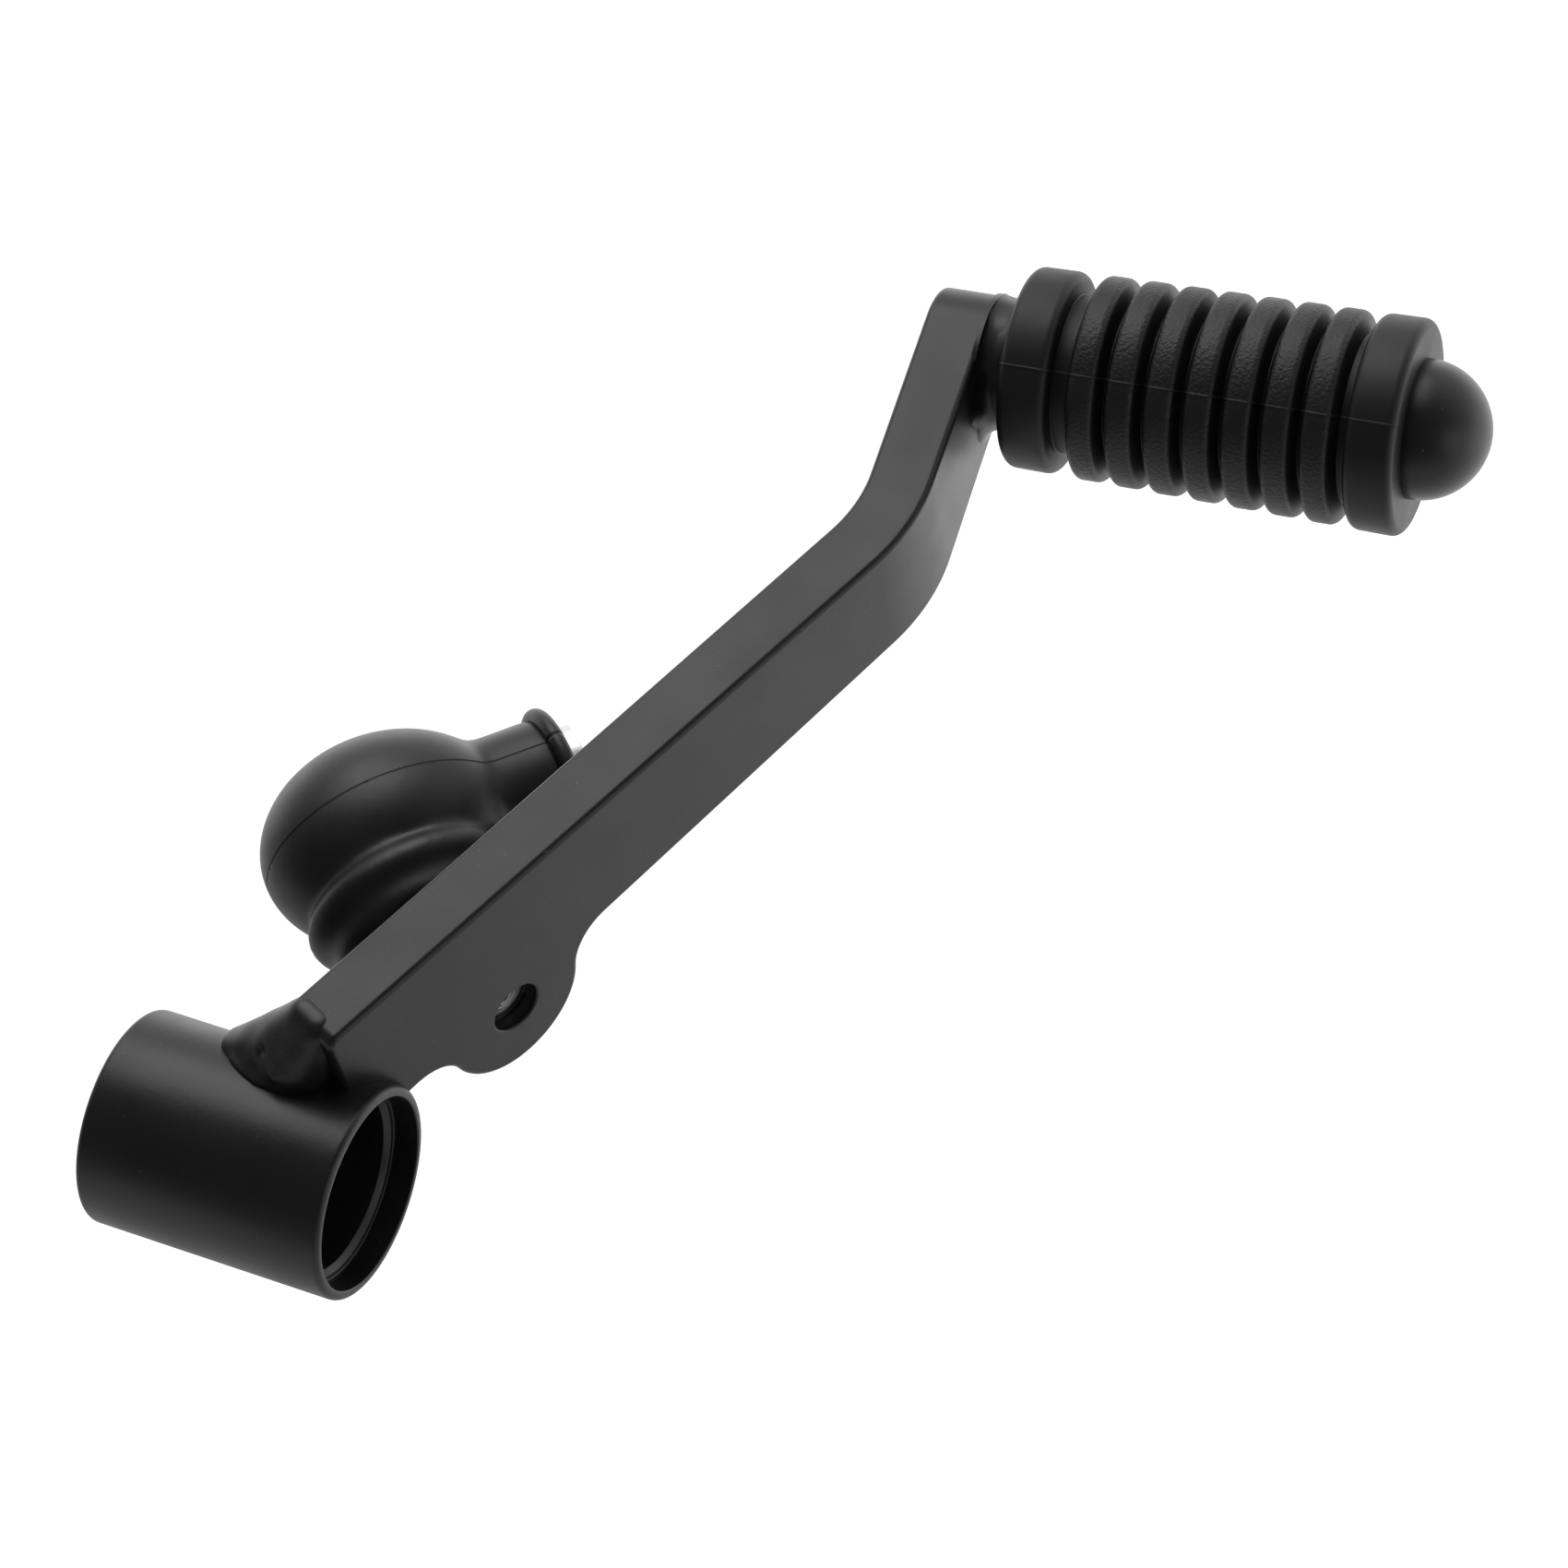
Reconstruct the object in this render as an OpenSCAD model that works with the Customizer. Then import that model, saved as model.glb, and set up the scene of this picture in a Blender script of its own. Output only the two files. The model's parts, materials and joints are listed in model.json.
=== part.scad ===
// Motorcycle gear shift lever: a welded steel lever with a rubber toe piece and a booted ball joint.
// The origin is the centre of the pivot bore. The bore runs along Y, with the rider's boot on the -Y side,
// the arm runs forward along +X, and the arm's straight top edge faces +Z.

/* [Pivot tube] */
// Diameter of the through bore
bore_d = 16; // [15:0.1:17]
// Wall of the tube round the bore
tube_wall = 2; // [1.8:0.1:2.4]
// Length of the pivot tube
tube_len = 24.5; // [24:0.1:27]
// Step from the bore out to the seal seat at each end
seat_step = 1; // [0.7:0.05:1.1]
// Depth of each seal seat
seat_depth = 2.5; // [1.5:0.1:3.5]
// Chamfer on the step between seat and bore
seat_chamfer = 0.5; // [0.2:0.1:0.6]
// Radius on the outer rim
rim_round = 0.6; // [0.3:0.05:0.7]

/* [Arm plate] */
// Thickness of the steel plate
plate_t = 6; // [5.4:0.1:6.6]
// Height of the plate's top edge above the pivot axis
plate_top = 16.6; // [16:0.1:17.4]
// Height of the bottom edge where it would meet the pivot axis
bottom_root = 0.6; // [0:0.1:1.4]
// Rise of the bottom edge for each millimetre of run
bottom_slope = 0.0375; // [0.03:0.0025:0.045]
// Angle that the arm is cranked outboard
crank_angle = 22; // [20:0.5:24]
// Distance from the pivot axis to the outboard face
face_offset = 7; // [6.6:0.1:7.4]
// Distance from the pivot axis to the end of the plate
run_start = 7.8; // [7:0.1:8.6]
// Distance from the pivot axis to the knee
knee_run = 80.2; // [76:0.2:86]
// Angle of the knee, back towards the machine
knee_angle = 29.2; // [26:0.2:34]
// Outboard radius of the knee
knee_r = 20; // [16:0.5:24]
// Distance from the knee to the toe peg
leg_run = 23.3; // [20:0.1:26]

/* [Lug] */
// Distance from the pivot axis to the thread in the lug
lug_run = 26.4; // [25.6:0.1:27.2]
// Height of the thread above the pivot axis
lug_height = -0.1; // [-0.6:0.1:0.4]
// Radius of the lug round the thread
lug_r = 7.5; // [7:0.1:8]
// Radius of the fillets beside the lug
lug_fillet = 4.5; // [3:0.25:5]
// Core diameter of the lug's thread
lug_thread_d = 5; // [4.8:0.05:5.4]

/* [Toe peg] */
// Diameter of the peg inside the rubber
peg_d = 10; // [9:0.1:11]
// Diameter of the peg's collar
collar_d = 12; // [11.4:0.1:12.4]
// Length of the collar
collar_len = 2.7; // [2.2:0.1:3.2]
// Radius of the ball end
ball_end_r = 6.5; // [6.1:0.1:7]
// Distance from the plate to the middle of the ball end
ball_end_run = 40.5; // [39:0.1:43]

/* [Toe rubber] */
// Outer diameter at the plate end
rubber_d_root = 18.7; // [18:0.1:19.4]
// Outer diameter at the ball end
rubber_d_tip = 20.1; // [19.4:0.1:21]
// Width of each end flange
flange_w = 4.7; // [4.2:0.1:5]
// Number of ribs between the flanges
rib_count = 7; // [5:1:7]
// Distance from rib to rib
rib_pitch = 3.69; // [3.6:0.01:3.75]
// Width of a rib
rib_w = 2.3; // [1.8:0.1:2.6]
// Depth of the grooves
groove_depth = 2.1; // [1.4:0.1:2.6]
// Radius on the flange edges
flange_round = 0.8; // [0.4:0.1:1]

/* [Ball joint] */
// Diameter of the stud's ball
ball_d = 8; // [7.6:0.1:8.2]
// Gap between ball and socket
ball_gap = 0.03; // [0.02:0.01:0.05]
// Distance from the plate to the middle of the ball
ball_run = 18.3; // [17.8:0.1:18.8]
// Swing of the shank below the arm
joint_swing = 10; // [0:0.5:14]
// Tilt of the socket, with its shank towards the plate
joint_tilt = 18; // [12:1:18]
// Diameter of the socket's head
head_d = 12.6; // [12.4:0.1:12.7]
// Length of the shank from the middle of the ball
shank_run = 24.8; // [24.6:0.1:26]
// Diameter of the shank
shank_d = 10; // [9.6:0.1:10.4]
// Core diameter of the shank's thread
shank_thread_d = 5; // [4.8:0.05:5.4]
// Depth of the shank's thread
shank_thread_len = 12; // [10:0.5:13]

/* [Boot] */
// Radius of the boot's bulb
bulb_r = 10; // [9.8:0.1:10.4]
// Half the length of the bulb along the shank
bulb_half = 12.3; // [12.2:0.1:12.8]
// Distance from the middle of the ball to the middle of the bulb
bulb_run = 5; // [4.6:0.1:5]
// Distance from the middle of the ball to the middle of the folds
fold_run = 4.3; // [4:0.1:4.6]
// Thickness of the boot's wall
boot_wall = 0.9; // [0.7:0.05:0.95]
// Outer diameter of the boot's neck
neck_d = 12; // [11.8:0.1:12.6]
// Distance from the middle of the ball to the end of the neck
neck_run = 23; // [22.4:0.1:23.4]
// Radius of the bead at the end of the neck
bead_r = 1.1; // [0.8:0.05:1.3]

/* [Welds] */
// Leg of the fillet weld round the peg
peg_weld_leg = 1.2; // [0.8:0.1:1.4]
// Radius of the seam down the plate's inboard side
side_bead_r = 1.8; // [1.4:0.1:2]
// Radius of the weld laid over the plate's end
end_weld_r = 1.9; // [1.6:0.1:2.2]

/* [Hidden] */
$fn = 96;

paint = "#2b2b2c";
rubber = "#1c1c1c";
zinc = "#c9cccf";

bore_r = bore_d / 2;
seat_r = bore_r + seat_step;
tube_r = bore_r + tube_wall;
rim_relief = 0.15;
back_face = plate_t - face_offset;
far = 2 * (knee_run + leg_run);
tip_relief = 0.02;

knee_tangent = knee_r * tan(knee_angle / 2);
knee_start = knee_run - knee_tangent;

peg_x = knee_run + leg_run * cos(knee_angle);
peg_bottom = bottom_root + bottom_slope * peg_x;
tip_r = (plate_top - peg_bottom) / 2;
peg_z = plate_top - tip_r;

rubber_start = collar_len;
ball_end_lap = 0.3;
rubber_end = ball_end_run - ball_end_lap;
rib_shift = 0.3;
rib_first = (rubber_start + rubber_end - (rib_count - 1) * rib_pitch) / 2 + rib_shift;

ball_r = ball_d / 2;
stud_neck_r = 2.2;
stud_hex_af = 8;
stud_hex_len = 3.2;
stud_recess = 1.2;
thread_gap = 0.02;
head_low = -4.4;
head_high = 5.2;
head_mouth_r = 3.8;
shank_chamfer = 0.9;
clip_sink = 0.5;
clip_ring_r = head_d / 2 - clip_sink;
clip_wire_r = 0.4;
clip_gap = 0.02;
clip_z = -1.6;
clip_gap_angle = 50;
fold_stretch = 1.2;
fold_top = -2;
fold_low = -11;
// Radius and height of the folds' surface, from the bulb down to the last valley
fold_points = [[8.6, fold_top], [8.9, -4.2], [8.7, -5.6], [9, -6.5], [8.95, -7.6], [8.3, -8.8], [7.7, -9.6],
               [7.5, -10]];
skirt_r = 7.4;
skirt_top = -8;
lip_r = 5.2;
lip_low = -15;
lip_len = 1.8;
lip_flare = 1;

// Points along an arc
function arc(cx, cy, r, a0, a1, n) =
    [for (i = [0 : n]) [cx + r * cos(a0 + (a1 - a0) * i / n), cy + r * sin(a0 + (a1 - a0) * i / n)]];

// Height of the plate's bottom edge at a distance along the arm
function bottom_at(run) = bottom_root + bottom_slope * run;

// Radius of the rubber's crowns at a distance along the peg
function rubber_r(run) =
    (rubber_d_root + (rubber_d_tip - rubber_d_root) * (run - rubber_start) / (rubber_end - rubber_start)) / 2;

// Places children in the arm's frame: X along the arm, Y towards the machine, Z up
module at_arm() {
    rotate([0, 0, -crank_angle]) children();
}

// Places children at the toe peg: Z along the peg, from the plate's outboard face
module at_peg() {
    at_arm()
        translate([knee_run, -face_offset, 0])
            rotate([0, 0, knee_angle])
                translate([leg_run, 0, peg_z])
                    rotate([90, 0, 0]) children();
}

// Places children at the middle of the stud's ball: Z along the stud, X along the arm
module at_ball() {
    at_arm()
        translate([lug_run, back_face + ball_run, lug_height])
            rotate([-90, 0, 0]) children();
}

// Places children in the socket's own frame: Z out of its back, X along its shank
module at_socket() {
    at_ball() rotate([0, joint_tilt, 0]) rotate([0, 0, joint_swing]) children();
}

// Drop from the lug's middle to the middle of the fillet beside it, on one side of the lug
function fillet_drop(side) = lug_fillet + lug_height - bottom_at(lug_run + side * (lug_r + lug_fillet));

// Run from the lug's middle to the middle of the fillet beside it
function fillet_reach(side) = sqrt(pow(lug_r + lug_fillet, 2) - pow(fillet_drop(side), 2));

// Angle at which the lug meets the fillet beside it
function fillet_angle(side) = asin(fillet_drop(side) / (lug_r + lug_fillet));

// Outline of the plate seen from the side, with the lug
function plate_side() =
    let (a = fillet_angle(-1), b = fillet_angle(1), step = 5)
    concat([[run_start, plate_top], [run_start, bottom_at(run_start)]],
           arc(lug_run - fillet_reach(-1), lug_height - fillet_drop(-1), lug_fillet, 90, a, 12),
           arc(lug_run, lug_height, lug_r, 180 + a + step, 360 - b - step, 36),
           arc(lug_run + fillet_reach(1), lug_height - fillet_drop(1), lug_fillet, 180 - b, 90, 12),
           [[far, bottom_at(far)], [far, plate_top]]);

// Plan of the bent plate, left long at the toe
function plate_plan() =
    let (toe = [knee_run, -face_offset] + far * [cos(knee_angle), sin(knee_angle)],
         across = plate_t * [-sin(knee_angle), cos(knee_angle)])
    concat([[run_start, -face_offset]],
           arc(knee_start, knee_r - face_offset, knee_r, -90, knee_angle - 90, 16),
           [toe, toe + across],
           arc(knee_start, knee_r - face_offset, knee_r - plate_t, knee_angle - 90, -90, 16),
           [[run_start, back_face]]);

module pivot_tube() {
    half = tube_len / 2;
    right = concat(
        [[bore_r, 0], [bore_r, half - seat_depth - seat_chamfer], [bore_r + seat_chamfer, half - seat_depth],
         [seat_r, half - seat_depth], [seat_r, half - rim_relief], [seat_r + rim_relief, half]],
        arc(tube_r - rim_round, half - rim_round, rim_round, 90, 0, 6),
        [[tube_r, 0]]);
    color(paint)
        rotate([90, 0, 0]) {
            rotate_extrude() polygon(right);
            mirror([0, 0, 1]) rotate_extrude() polygon(right);
        }
}

module lever_arm() {
    color(paint)
        difference() {
            at_arm()
                intersection() {
                    translate([0, 0, -far / 2]) linear_extrude(height = far) polygon(plate_plan());
                    translate([0, far / 2, 0])
                        rotate([90, 0, 0]) linear_extrude(height = far) polygon(plate_side());
                }
            at_peg()
                translate([0, 0, -2 * plate_t])
                    linear_extrude(height = 3 * plate_t)
                        difference() {
                            translate([0, -far / 2]) square([far * 2, far]);
                            circle(r = tip_r + tip_relief);
                        }
            rotate([90, 0, 0]) cylinder(r = tube_r, h = 2 * tube_len, center = true);
            at_arm()
                translate([lug_run, 0, lug_height])
                    rotate([90, 0, 0]) cylinder(d = lug_thread_d, h = 4 * plate_t, center = true);
        }
}

// Rounded bead through points, as the hull of a ball at each
module bead(points, r) {
    hull()
        for (point = points)
            translate(point) sphere(r = r, $fn = 24);
}

// Point on the tube's outside, in the arm's frame, at a height and a distance across the arm
function on_tube(height, across) =
    let (x = sqrt(tube_r * tube_r - height * height))
    [(x - across * sin(crank_angle)) / cos(crank_angle), across, height];

// Points of a seam down the tube's side at a distance across the arm, from its upper to its lower end
function seam(across) =
    [for (share = [0.76, 0.46, 0.16]) on_tube(share * tube_r, across)];

// Points that the weld over the plate's end is drawn round: along the tube, then up the plate's inboard edge
function end_weld() =
    [on_tube(0.8 * tube_r, back_face + 5), on_tube(0.89 * tube_r, back_face + 2.2),
     on_tube(0.92 * tube_r, back_face + 0.3), on_tube(0.88 * tube_r, back_face - 1),
     [run_start + 0.7, back_face - 0.4, plate_top - 2.4 * end_weld_r]];

module tube_weld() {
    color(paint)
        difference() {
            at_arm()
                union() {
                    bead(end_weld(), end_weld_r);
                    bead(seam(back_face + side_bead_r / 3), side_bead_r);
                }
            rotate([90, 0, 0]) cylinder(r = tube_r, h = 2 * tube_len, center = true);
            lever_arm();
        }
}

module toe_peg() {
    seat_angle = asin((rubber_end - ball_end_run) / ball_end_r);
    color(paint)
        at_peg()
            rotate_extrude()
                polygon(concat(
                    [[0, 0], [collar_d / 2, 0], [collar_d / 2, collar_len], [peg_d / 2, collar_len],
                     [peg_d / 2, rubber_end]],
                    arc(0, ball_end_run, ball_end_r, seat_angle, 90, 24)));
}

module peg_weld() {
    color(paint)
        at_peg()
            rotate_extrude()
                translate([collar_d / 2, 0])
                    polygon(peg_weld_leg * [[0, 0], [1, 0], [0.45, 0.45], [0, 1]]);
}

// Half outline of one rib's round crown
function rib_crown(middle) =
    let (crown = rib_w / 2, r = rubber_r(middle))
    concat([[r - groove_depth, middle - crown]],
           arc(r - crown, middle, crown, -90, 90, 8),
           [[r - groove_depth, middle + crown]]);

// Half outline of an end flange that starts at a distance along the peg
function flange(start) =
    let (end = start + flange_w, r = flange_round)
    concat(arc(rubber_r(start) - r, start + r, r, -90, 0, 5),
           arc(rubber_r(end) - r, end - r, r, 0, 90, 5));

module toe_rubber() {
    peg_r = peg_d / 2;
    first_end = rubber_start + flange_w;
    last_start = rubber_end - flange_w;
    ribs = [for (i = [0 : rib_count - 1]) each rib_crown(rib_first + i * rib_pitch)];
    color(rubber)
        at_peg()
            rotate_extrude()
                polygon(concat(
                    [[peg_r, rubber_start]],
                    flange(rubber_start),
                    [[rubber_r(first_end) - groove_depth, first_end]],
                    ribs,
                    [[rubber_r(last_start) - groove_depth, last_start]],
                    flange(last_start),
                    [[peg_r, rubber_end]]));
}

module ball_stud() {
    thread_r = lug_thread_d / 2 - thread_gap;
    thread_len = plate_t - stud_recess;
    color(zinc)
        at_ball() {
            sphere(r = ball_r);
            translate([0, 0, -ball_run]) cylinder(r = stud_neck_r, h = ball_run);
            translate([0, 0, -ball_run]) cylinder(d = stud_hex_af / cos(30), h = stud_hex_len, $fn = 6);
            translate([0, 0, -ball_run - thread_len]) cylinder(r = thread_r, h = thread_len);
        }
}

module ball_socket() {
    color(zinc)
        at_socket()
            difference() {
                union() {
                    intersection() {
                        translate([0, 0, head_low]) cylinder(d = head_d, h = head_high - head_low);
                        sphere(d = head_d);
                    }
                    rotate([0, 90, 0])
                        rotate_extrude()
                            polygon([[0, 0], [shank_d / 2, 0], [shank_d / 2, shank_run - shank_chamfer],
                                     [shank_d / 2 - shank_chamfer, shank_run], [0, shank_run]]);
                }
                sphere(r = ball_r + ball_gap);
                translate([0, 0, head_low - 1]) cylinder(r = head_mouth_r, h = -head_low + 1);
                translate([0, 0, -shank_d]) cylinder(d = head_d, h = shank_d + head_low);
                translate([shank_run - shank_thread_len, 0, 0])
                    rotate([0, 90, 0]) cylinder(d = shank_thread_d, h = shank_thread_len + 1);
                translate([0, 0, clip_z])
                    rotate_extrude() translate([clip_ring_r, 0]) circle(r = clip_wire_r + clip_gap, $fn = 24);
            }
}

module safety_clip() {
    color(zinc)
        at_socket()
            translate([0, 0, clip_z])
                rotate([0, 0, clip_gap_angle])
                    rotate_extrude(angle = 360 - 2 * clip_gap_angle)
                        translate([clip_ring_r, 0]) circle(r = clip_wire_r, $fn = 24);
}

// Half outline of the bulb, turned about the shank's axis
function bulb_outline(inset) =
    [for (i = [0 : 24])
        let (a = 180 * i / 24) [(bulb_r - inset) * sin(a), bulb_run - (bulb_half - inset) * cos(a)]];

// Half outline of the folds, turned about the socket's axis and stretched along the shank
function fold_outline(inset) =
    [[0, fold_top],
     each [for (point = fold_points) [point[0] - inset, point[1]]],
     [fold_points[len(fold_points) - 1][0] - inset, fold_low + inset], [0, fold_low + inset]];

// Everything that the boot fills, drawn thinner by inset
module boot_body(inset) {
    at_socket() {
        rotate([0, 90, 0]) rotate_extrude() polygon(bulb_outline(inset));
        translate([fold_run, 0, 0])
            scale([fold_stretch, 1, 1]) rotate_extrude() polygon(fold_outline(inset));
    }
    at_ball()
        rotate_extrude()
            polygon([[0, skirt_top], [skirt_r - inset, skirt_top],
                     [lip_r + lip_flare - inset, lip_low + lip_len + lip_flare],
                     [lip_r - inset, lip_low + lip_len], [0, lip_low + lip_len]]);
}

module joint_boot() {
    color(rubber)
        difference() {
            union() {
                boot_body(0);
                at_socket() {
                    rotate([0, 90, 0]) cylinder(d = neck_d, h = neck_run);
                    translate([neck_run - bead_r, 0, 0])
                        rotate([0, 90, 0])
                            rotate_extrude() translate([neck_d / 2, 0]) circle(r = bead_r, $fn = 32);
                }
                at_ball() translate([0, 0, lip_low]) cylinder(r = lip_r, h = lip_len + 1);
            }
            boot_body(boot_wall);
            at_socket() rotate([0, 90, 0]) cylinder(d = shank_d, h = neck_run + 1);
            at_ball() translate([0, 0, lip_low - 1]) cylinder(r = stud_neck_r, h = lip_len + 3);
        }
}

pivot_tube();
lever_arm();
tube_weld();
toe_peg();
peg_weld();
toe_rubber();
ball_stud();
ball_socket();
safety_clip();
joint_boot();
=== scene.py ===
"""A motorcycle gear shift lever: its fine forms and finishes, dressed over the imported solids.

Every mesh is drawn in millimetres, in the frame of the piece that it belongs to, and is brought
to metres and to its place on the lever when it is finished.
"""

import json
import logging
import math
from collections.abc import Callable, Sequence
from dataclasses import dataclass, field
from enum import Enum

import bmesh
import bpy
from bmesh.types import BMesh
from mathutils import Matrix, Vector, noise

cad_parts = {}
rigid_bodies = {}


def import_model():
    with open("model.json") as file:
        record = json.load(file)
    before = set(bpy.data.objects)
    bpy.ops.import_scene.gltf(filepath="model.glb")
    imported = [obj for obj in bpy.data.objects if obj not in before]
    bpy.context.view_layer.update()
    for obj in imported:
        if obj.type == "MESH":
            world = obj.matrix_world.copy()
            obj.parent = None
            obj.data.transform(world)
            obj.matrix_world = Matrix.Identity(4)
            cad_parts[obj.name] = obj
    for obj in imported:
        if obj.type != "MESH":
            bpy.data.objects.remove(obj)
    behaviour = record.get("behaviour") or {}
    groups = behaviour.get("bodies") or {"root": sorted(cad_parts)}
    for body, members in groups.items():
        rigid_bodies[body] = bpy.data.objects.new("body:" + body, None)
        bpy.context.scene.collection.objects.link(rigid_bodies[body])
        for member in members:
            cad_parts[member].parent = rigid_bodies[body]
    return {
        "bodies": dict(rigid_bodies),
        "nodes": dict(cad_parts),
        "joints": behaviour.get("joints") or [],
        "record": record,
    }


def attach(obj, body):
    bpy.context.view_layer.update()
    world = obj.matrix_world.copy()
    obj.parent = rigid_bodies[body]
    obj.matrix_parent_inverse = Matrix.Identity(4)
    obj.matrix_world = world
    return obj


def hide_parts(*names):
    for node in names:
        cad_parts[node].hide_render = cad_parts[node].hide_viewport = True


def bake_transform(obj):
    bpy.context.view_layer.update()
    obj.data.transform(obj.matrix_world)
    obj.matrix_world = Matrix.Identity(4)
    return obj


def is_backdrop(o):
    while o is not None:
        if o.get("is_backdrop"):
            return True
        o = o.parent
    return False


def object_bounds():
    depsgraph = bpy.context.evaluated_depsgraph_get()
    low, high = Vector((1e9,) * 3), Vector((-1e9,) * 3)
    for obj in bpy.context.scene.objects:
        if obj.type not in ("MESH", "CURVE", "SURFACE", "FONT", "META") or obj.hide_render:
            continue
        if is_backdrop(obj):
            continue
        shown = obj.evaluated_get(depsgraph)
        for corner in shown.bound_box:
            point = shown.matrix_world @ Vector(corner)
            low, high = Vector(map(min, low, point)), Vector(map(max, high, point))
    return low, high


MM = 0.001
FULL_TURN = math.tau
TURN_STEPS = 128
MERGE_GAP = 1e-4

Outline = list[tuple[float, float]]
Corner = tuple[float, float, float]
Socket = bpy.types.NodeSocket

log = logging.getLogger("shift_lever")


class Body(Enum):
    """The rigid bodies that pieces ride on."""

    LEVER = "lever"
    BOOT = "boot"
    SOCKET = "socket"


class Slot(Enum):
    """The material slots of the record."""

    COATING = "black_coating"
    TOE_RUBBER = "toe_rubber"
    BOOT_RUBBER = "boot_rubber"
    ZINC = "zinc_plate"


@dataclass(frozen=True)
class Layout:
    """Where the lever's pieces sit, in millimetres and degrees, from the middle of the pivot bore."""

    crank_angle: float = 22.0
    face_offset: float = 7.0
    plate_t: float = 6.0
    plate_top: float = 16.6
    bottom_root: float = 0.6
    bottom_slope: float = 0.0375
    knee_run: float = 80.2
    knee_angle: float = 29.2
    knee_r: float = 20.0
    leg_run: float = 23.3
    lug_run: float = 26.4
    lug_height: float = -0.1
    ball_run: float = 18.3
    joint_tilt: float = 18.0
    joint_swing: float = 10.0

    @property
    def knee_turn(self) -> float:
        """The knee's angle in radians."""
        return math.radians(self.knee_angle)

    @property
    def knee_start(self) -> float:
        """Run at which the plate starts to bend."""
        return self.knee_run - self.knee_tangent

    @property
    def knee_tangent(self) -> float:
        """Length of the bend's tangents on the outboard face."""
        return self.knee_r * math.tan(self.knee_turn / 2)

    @property
    def knee_end(self) -> float:
        """Run at which the bend ends, along the outboard face."""
        return self.knee_start + self.knee_r * self.knee_turn

    @property
    def tip_run(self) -> float:
        """Run of the toe peg, along the outboard face."""
        return self.knee_end + self.leg_run - self.knee_tangent

    @property
    def tip_bottom(self) -> float:
        """Height of the plate's bottom edge below the toe peg."""
        return self.bottom_at(self.knee_run + self.leg_run * math.cos(self.knee_turn))

    @property
    def tip_r(self) -> float:
        """Radius of the plate's round end."""
        return (self.plate_top - self.tip_bottom) / 2

    @property
    def peg_height(self) -> float:
        """Height of the toe peg's axis."""
        return self.plate_top - self.tip_r

    def bottom_at(self, run: float) -> float:
        """Height of the plate's bottom edge at a distance along the arm."""
        return self.bottom_root + self.bottom_slope * run

    def arm(self) -> Matrix:
        """Frame of the arm: X along it, Y towards the machine."""
        return turned("Z", -self.crank_angle)

    def peg(self) -> Matrix:
        """Frame of the toe peg: Z along the peg from the plate's outboard face."""
        knee = shifted(self.knee_run, -self.face_offset, 0) @ turned("Z", self.knee_angle)
        return self.arm() @ knee @ shifted(self.leg_run, 0, self.peg_height) @ turned("X", 90)

    def ball(self) -> Matrix:
        """Frame of the ball stud: Z along the stud from the middle of its ball."""
        across = self.plate_t - self.face_offset + self.ball_run
        return self.arm() @ shifted(self.lug_run, across, self.lug_height) @ turned("X", -90)

    def socket(self) -> Matrix:
        """Frame of the tilted socket: X along its shank."""
        return self.ball() @ turned("Y", self.joint_tilt) @ turned("Z", self.joint_swing)

    def shank(self) -> Matrix:
        """Frame of the socket's shank: Z along the shank."""
        return self.socket() @ turned("Y", 90)


def shifted(x: float, y: float, z: float) -> Matrix:
    """A move, in millimetres."""
    return Matrix.Translation((x, y, z))


def turned(axis: str, degrees: float) -> Matrix:
    """A turn about one axis, in degrees."""
    return Matrix.Rotation(math.radians(degrees), 4, axis)


def arc(cx: float, cy: float, r: float, start: float, end: float, steps: int) -> Outline:
    """Points along an arc.

    Args:
        cx: First coordinate of the arc's middle.
        cy: Second coordinate of the arc's middle.
        r: Radius.
        start: First angle, in degrees.
        end: Last angle, in degrees.
        steps: Number of chords.

    Returns:
        The arc's points, both ends included.
    """
    angles = [math.radians(start + (end - start) * i / steps) for i in range(steps + 1)]
    return [(cx + r * math.cos(a), cy + r * math.sin(a)) for a in angles]


def rounded(corners: Sequence[Corner], closed: bool = False, steps: int = 6) -> Outline:
    """Rounds the corners of an outline.

    Args:
        corners: Each corner's two coordinates and its radius.
        closed: Whether the last corner joins the first.
        steps: Number of chords in each rounded corner.

    Returns:
        The outline's points.
    """
    points: Outline = []
    count = len(corners)
    for i, (x, y, r) in enumerate(corners):
        if r <= 0 or (not closed and i in (0, count - 1)):
            points.append((x, y))
            continue
        here = Vector((x, y))
        back = (Vector(corners[i - 1][:2]) - here).normalized()
        ahead = (Vector(corners[(i + 1) % count][:2]) - here).normalized()
        half = back.angle(ahead) / 2
        middle = here + (back + ahead).normalized() * (r / math.sin(half))
        first = here + back * (r / math.tan(half)) - middle
        last = here + ahead * (r / math.tan(half)) - middle
        start = math.atan2(first.y, first.x)
        sweep = (math.atan2(last.y, last.x) - start + math.pi) % FULL_TURN - math.pi
        end = math.degrees(start + sweep)
        points += arc(middle.x, middle.y, r, math.degrees(start), end, steps)
    return points


def revolve(outline: Outline, steps: int = TURN_STEPS, closed: bool = False) -> BMesh:
    """Turns an outline about Z.

    Args:
        outline: Points as radius and height.
        steps: Number of faces round the turn.
        closed: Whether the last point joins the first.

    Returns:
        The turned mesh, with its faces outwards.
    """
    bm = bmesh.new()
    verts = [bm.verts.new((r, 0.0, h)) for r, h in outline]
    ends = verts[1:] + verts[:1] if closed else verts[1:]
    edges = [bm.edges.new(pair) for pair in zip(verts, ends)]
    bmesh.ops.spin(
        bm, geom=verts + edges, cent=(0, 0, 0), axis=(0, 0, 1),
        angle=FULL_TURN, steps=steps, use_merge=True,
    )
    bmesh.ops.remove_doubles(bm, verts=bm.verts, dist=MERGE_GAP)
    bmesh.ops.recalc_face_normals(bm, faces=bm.faces)
    return bm


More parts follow.
